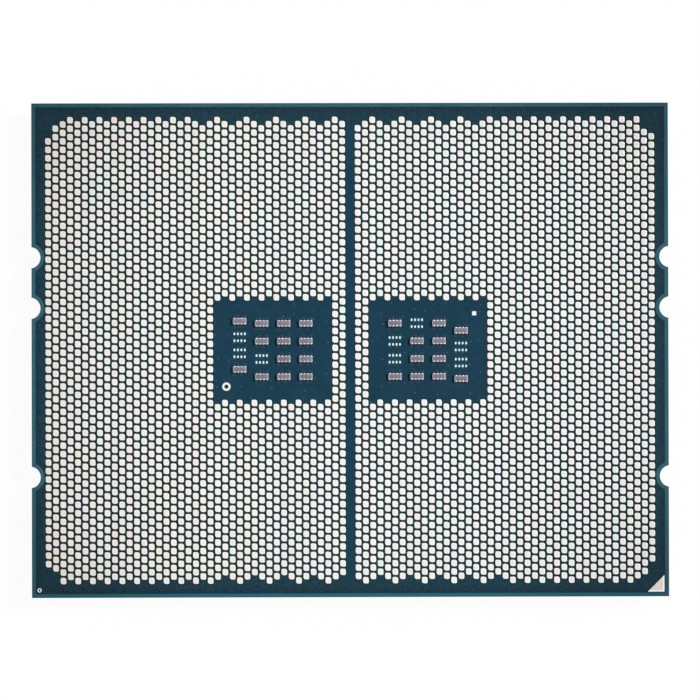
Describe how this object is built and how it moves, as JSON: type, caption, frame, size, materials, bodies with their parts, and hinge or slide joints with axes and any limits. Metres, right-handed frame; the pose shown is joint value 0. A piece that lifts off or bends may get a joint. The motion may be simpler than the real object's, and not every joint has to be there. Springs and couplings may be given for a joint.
{
  "type": "computer processor",
  "caption": "Large land-grid processor lying on its stepped metal lid, with a staggered field of contact lands, two capacitor windows and keying notches in its short sides.",
  "frame": {"origin": "centre of the heat spreader's outer face, which the part rests on", "axes": "+X along the long side, +Y along the short side with the single notch of each side towards -Y, +Z towards the contact lands"},
  "size_m": [0.0754, 0.0584, 0.0065],
  "materials": {
    "laminate": "dark teal solder mask",
    "gold_plate": "pale gold plating",
    "pad_plate": "pale plated pads",
    "cap_ceramic": "fired ceramic with plated terminals",
    "nickel_plate": "matt nickel plating on copper",
    "sealant": "cured adhesive",
    "silicon": "polished silicon",
    "lid_solder": "indium solder",
    "resin": "cured underfill"
  },
  "bodies": {
    "root": {"substrate": "laminate", "left_lands": "gold_plate", "right_lands": "gold_plate", "left_solder_pads": "pad_plate", "right_solder_pads": "pad_plate", "capacitor_1": "cap_ceramic", "capacitor_2": "cap_ceramic", "capacitor_3": "cap_ceramic", "capacitor_4": "cap_ceramic", "capacitor_5": "cap_ceramic", "capacitor_6": "cap_ceramic", "capacitor_7": "cap_ceramic", "capacitor_8": "cap_ceramic", "capacitor_9": "cap_ceramic", "capacitor_10": "cap_ceramic", "capacitor_11": "cap_ceramic", "capacitor_12": "cap_ceramic", "capacitor_13": "cap_ceramic", "capacitor_14": "cap_ceramic", "capacitor_15": "cap_ceramic", "capacitor_16": "cap_ceramic", "capacitor_17": "cap_ceramic", "capacitor_18": "cap_ceramic", "capacitor_19": "cap_ceramic", "capacitor_20": "cap_ceramic", "capacitor_21": "cap_ceramic", "capacitor_22": "cap_ceramic", "capacitor_23": "cap_ceramic", "capacitor_24": "cap_ceramic", "ring_fiducial": "pad_plate", "square_fiducial": "pad_plate", "pin_one_mark": "gold_plate", "corner_ring": "pad_plate", "heat_spreader": "nickel_plate", "lid_sealant": "sealant", "io_die": "silicon", "io_solder": "lid_solder", "compute_die_1": "silicon", "compute_die_2": "silicon", "compute_die_3": "silicon", "compute_die_4": "silicon", "compute_die_5": "silicon", "compute_die_6": "silicon", "compute_die_7": "silicon", "compute_die_8": "silicon", "compute_solder_1": "lid_solder", "compute_solder_2": "lid_solder", "compute_solder_3": "lid_solder", "compute_solder_4": "lid_solder", "compute_solder_5": "lid_solder", "compute_solder_6": "lid_solder", "compute_solder_7": "lid_solder", "compute_solder_8": "lid_solder", "underfill": "resin", "die_side_capacitors": "cap_ceramic"}
  },
  "joints": []
}
